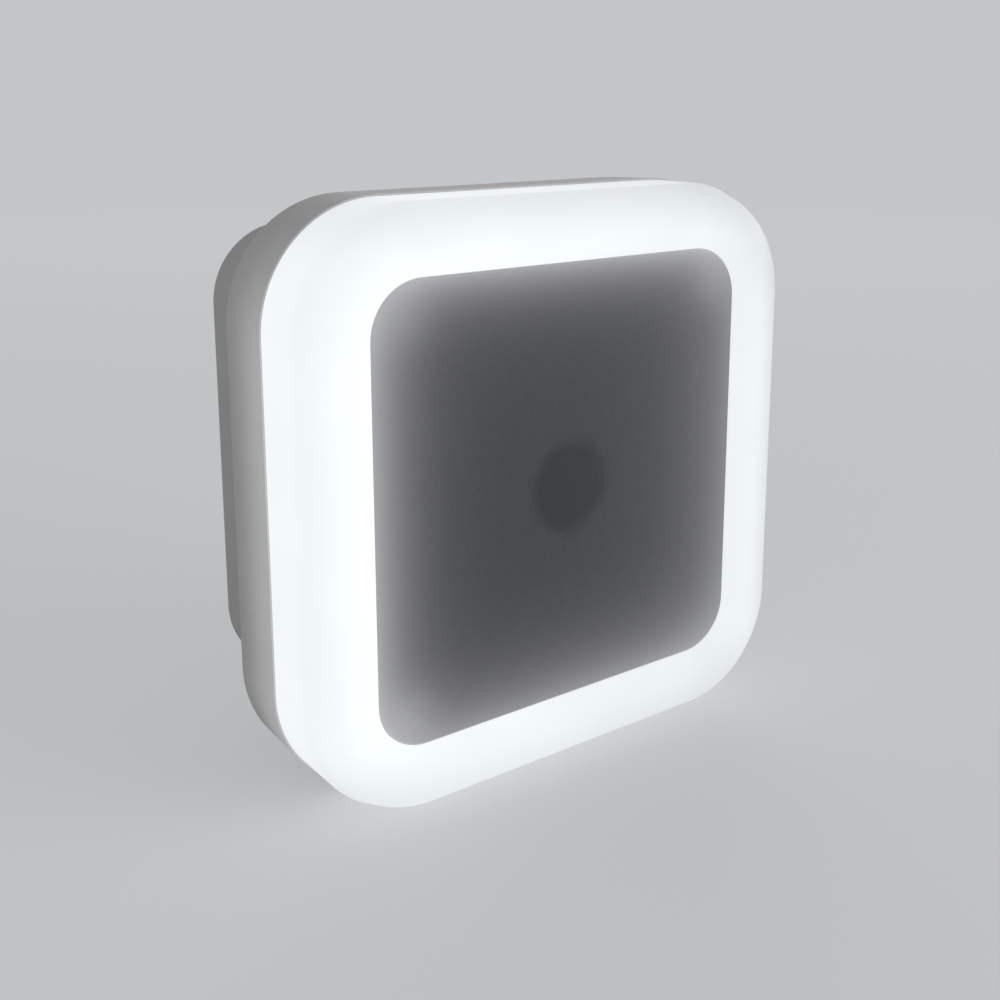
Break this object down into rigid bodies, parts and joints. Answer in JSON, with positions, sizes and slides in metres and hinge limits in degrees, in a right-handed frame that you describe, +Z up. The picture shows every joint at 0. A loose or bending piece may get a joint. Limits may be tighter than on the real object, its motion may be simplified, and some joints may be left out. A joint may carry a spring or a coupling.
{
  "type": "plug-in night light",
  "caption": "Rounded-square plug-in night light: a glowing opal ring round a grey sensor panel, on a stepped white housing with flat plug blades behind.",
  "frame": {"origin": "midway between the two plug blades, on the rear face of the plug base, which meets the outlet", "axes": "+Y into the outlet, along the blades; the lit face looks along -Y; +Z up, +X to the right of someone who faces the light"},
  "size_m": [0.0614, 0.0454, 0.0614],
  "materials": {
    "opal_diffuser": "frosted opal, lit from inside",
    "grey_panel": "smooth satin, slightly translucent",
    "white_housing": "fine moulded grain",
    "white_reflector": "smooth white",
    "tube_black": "matt black",
    "blade_metal": "nickel-plated, brushed",
    "retainer_grey": "plain",
    "screw_steel": "zinc-plated",
    "board_white": "white solder mask",
    "led_phosphor": "yellow phosphor",
    "photocell_tan": "clear-coated ceramic",
    "capacitor_red": "potted box",
    "capacitor_can": "sleeved can",
    "resistor_beige": "enamelled",
    "resistor_blue": "enamelled",
    "epoxy_black": "moulded epoxy",
    "wire_black": "insulation",
    "wire_white": "insulation"
  },
  "bodies": {
    "root": {"diffuser_ring": "opal_diffuser", "front_panel": "grey_panel", "back_housing": "white_housing", "plug_base": "white_housing", "left_blade": "blade_metal", "right_blade": "blade_metal", "blade_retainer": "retainer_grey", "retainer_screws": "screw_steel", "base_screws": "screw_steel", "board_screws": "screw_steel", "circuit_board": "board_white", "reflector_frame": "white_reflector", "leds": "led_phosphor", "sensor_tube": "tube_black", "photocell": "photocell_tan", "film_capacitor": "capacitor_red", "electrolytic_capacitor": "capacitor_can", "fusible_resistor": "resistor_beige", "bleed_resistor": "resistor_blue", "switching_transistor": "epoxy_black", "bridge_rectifier": "epoxy_black", "chip_resistors": "epoxy_black", "left_lead_wire": "wire_black", "right_lead_wire": "wire_white"}
  },
  "joints": []
}
